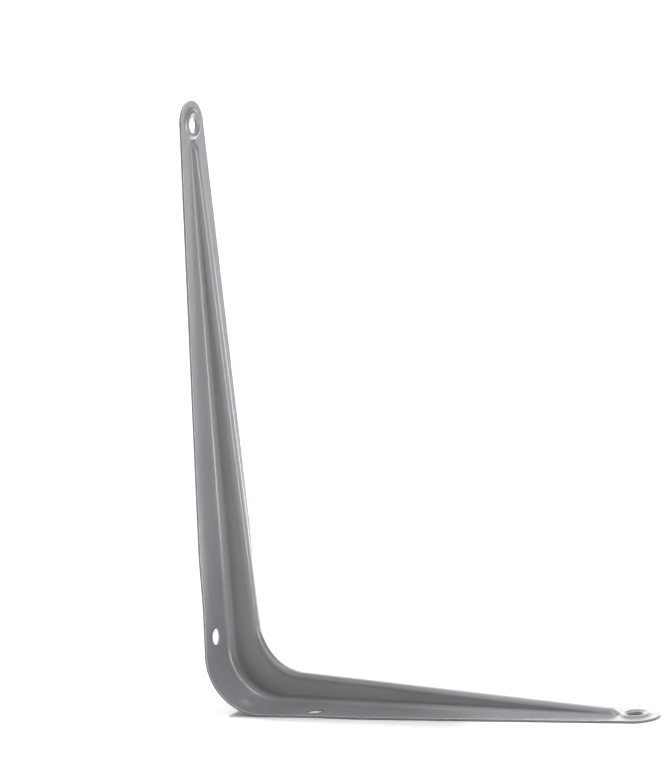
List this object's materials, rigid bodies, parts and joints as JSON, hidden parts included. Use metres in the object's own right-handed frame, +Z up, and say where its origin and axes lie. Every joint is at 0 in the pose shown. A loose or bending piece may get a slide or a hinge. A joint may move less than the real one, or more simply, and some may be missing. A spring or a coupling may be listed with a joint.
{
  "type": "shelf bracket",
  "caption": "Pressed sheet-steel shelf bracket: tapered wall and shelf arms folded at a right angle, with a hollow stiffening rib and round screw holes.",
  "frame": {"origin": "the heel, where the wall face, the shelf face and the middle plane of the bracket meet", "axes": "+X out along the shelf arm, away from the wall; +Z up along the wall arm as the bracket stands on its shelf arm, which is upside down from its use under a shelf; Y across the strap"},
  "size_m": [0.15, 0.0404, 0.2],
  "materials": {
    "grey_paint": "smooth satin grey stoved paint over pressed steel, thinner and slightly worn along the cut edges"
  },
  "bodies": {
    "root": {"bracket": "grey_paint"}
  },
  "joints": []
}
